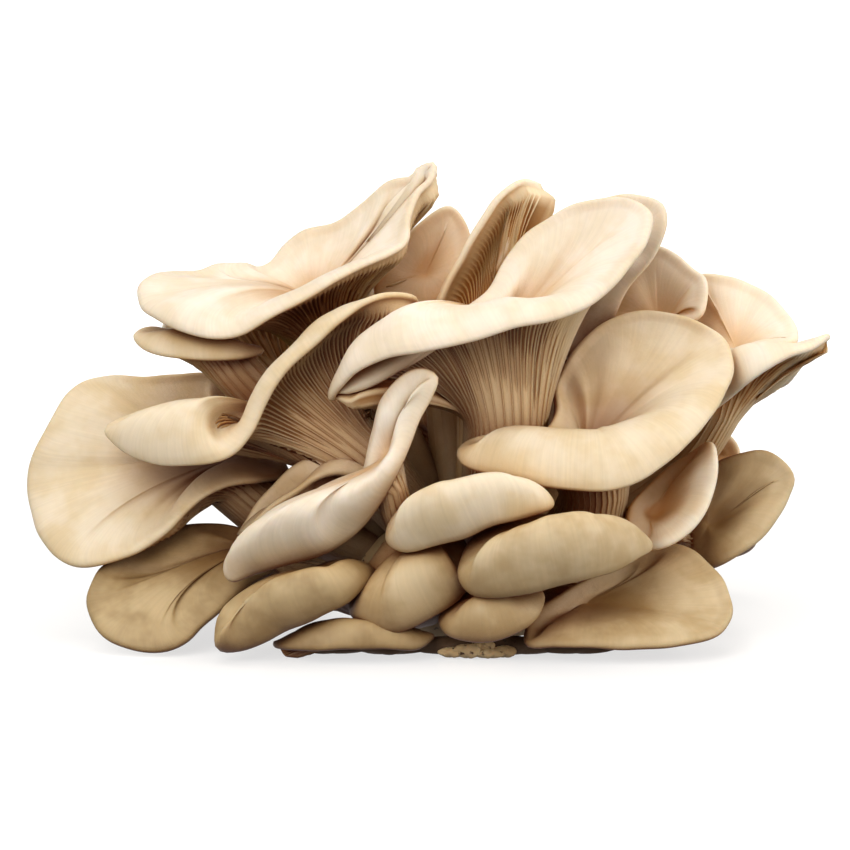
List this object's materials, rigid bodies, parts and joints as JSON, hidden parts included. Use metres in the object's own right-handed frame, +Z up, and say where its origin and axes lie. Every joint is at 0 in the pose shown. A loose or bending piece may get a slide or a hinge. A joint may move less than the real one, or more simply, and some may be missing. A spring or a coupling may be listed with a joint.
{
  "type": "oyster mushroom cluster",
  "caption": "Dense cluster of cream oyster mushrooms with fan caps, rolled margins and gills, grown from one shared base.",
  "frame": {"origin": "on the surface that the cluster stands on, under the middle of its bounding box", "axes": "+Z up, +X to the right along the longest side, +Y to the back"},
  "size_m": [0.2068, 0.142, 0.1205],
  "materials": {
    "mushroom_flesh": "matte",
    "base_flesh": "matte"
  },
  "bodies": {
    "root": {"base": "base_flesh", "mushroom_front_funnel": "mushroom_flesh", "mushroom_crown": "mushroom_flesh", "mushroom_upright_fan": "mushroom_flesh", "mushroom_left_swoop": "mushroom_flesh", "mushroom_left_crest": "mushroom_flesh", "mushroom_left_tucked": "mushroom_flesh", "mushroom_far_left": "mushroom_flesh", "mushroom_left_thin": "mushroom_flesh", "mushroom_left_curl": "mushroom_flesh", "mushroom_left_low": "mushroom_flesh", "mushroom_left_floor": "mushroom_flesh", "mushroom_front_left": "mushroom_flesh", "mushroom_front_upper": "mushroom_flesh", "mushroom_front_middle": "mushroom_flesh", "mushroom_front_low": "mushroom_flesh", "mushroom_front_floor": "mushroom_flesh", "mushroom_right_floor": "mushroom_flesh", "mushroom_right_fold": "mushroom_flesh", "mushroom_right_low": "mushroom_flesh", "mushroom_right_small": "mushroom_flesh", "mushroom_right_point": "mushroom_flesh", "mushroom_right_high": "mushroom_flesh", "mushroom_right_shoulder": "mushroom_flesh", "mushroom_crown_back": "mushroom_flesh", "mushroom_top_back": "mushroom_flesh", "mushroom_top_small": "mushroom_flesh", "mushroom_back_left_high": "mushroom_flesh", "mushroom_back_centre_high": "mushroom_flesh", "mushroom_back_right_high": "mushroom_flesh", "mushroom_back_left_low": "mushroom_flesh", "mushroom_back_right_low": "mushroom_flesh", "mushroom_back_centre_low": "mushroom_flesh", "mushroom_back_left_floor": "mushroom_flesh"}
  },
  "joints": []
}
